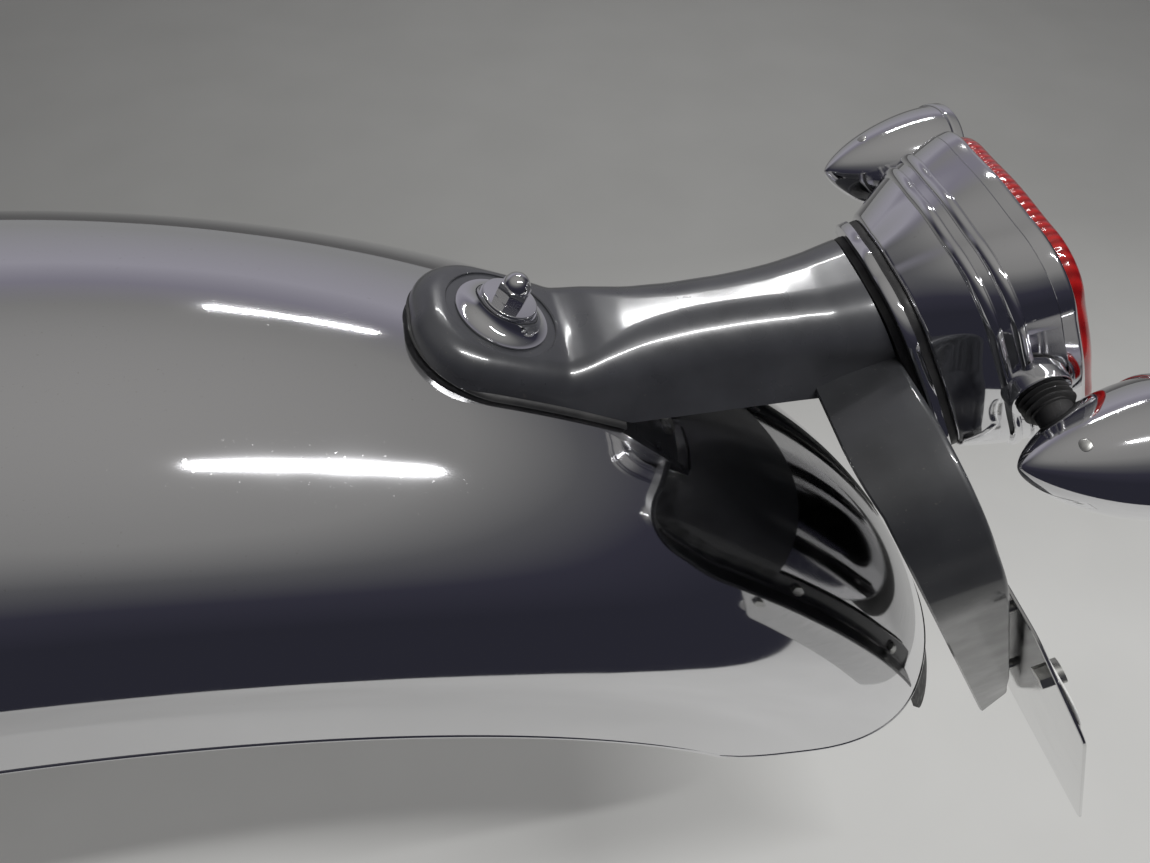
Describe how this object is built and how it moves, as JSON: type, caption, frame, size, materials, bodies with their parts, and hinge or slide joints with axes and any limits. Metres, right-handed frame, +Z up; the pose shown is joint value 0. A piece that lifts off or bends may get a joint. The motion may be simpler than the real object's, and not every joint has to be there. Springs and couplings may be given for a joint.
{
  "type": "motorcycle rear mudguard with tail lamp and number plate carrier",
  "caption": "Chromed rear mudguard with a cast carrier arm that holds the tail lamp, direction indicators and a yoke for the number plate panel.",
  "frame": {"origin": "crown's outer surface midway between the two frame bolt holes", "axes": "+X to the rear, +Y to the machine's right, +Z up with the machine upright"},
  "size_m": [0.8339, 0.292, 0.3377],
  "materials": {
    "chrome": "polished chrome plating",
    "polished": "polished stainless sheet",
    "zinc_steel": "zinc plated",
    "black_rubber": "moulded rubber",
    "black_metal": "satin black paint",
    "red_lens": "clear red moulding",
    "amber_lens": "clear amber moulding",
    "white_plate": "blank white plate"
  },
  "bodies": {
    "root": {"mudguard": "chrome", "lamp_arm": "chrome", "cone_cup": "chrome", "flange_washer": "chrome", "cap_nut": "chrome", "plate_yoke": "chrome", "lamp_foot": "chrome", "lamp_housing": "chrome", "lamp_bezel": "chrome", "indicator_bowl_left": "chrome", "indicator_bowl_right": "chrome", "indicator_rim_left": "chrome", "indicator_rim_right": "chrome", "indicator_stem_left": "chrome", "indicator_stem_right": "chrome", "plate_panel": "polished", "saddle_plate": "zinc_steel", "side_pad_left": "zinc_steel", "side_pad_right": "zinc_steel", "under_plate": "zinc_steel", "arm_stud": "zinc_steel", "cover_screw": "zinc_steel", "panel_bolt_1": "zinc_steel", "panel_bolt_2": "zinc_steel", "panel_bolt_3": "zinc_steel", "panel_bolt_4": "zinc_steel", "plate_bolt_1": "zinc_steel", "plate_bolt_2": "zinc_steel", "arm_gasket": "black_rubber", "lamp_gasket": "black_rubber", "foot_seal": "black_rubber", "cable_plug": "black_rubber", "tail_flap": "black_rubber", "arm_cover": "black_metal", "lamp_lens": "red_lens", "indicator_lens_left": "amber_lens", "indicator_lens_right": "amber_lens", "number_plate": "white_plate"}
  },
  "joints": []
}
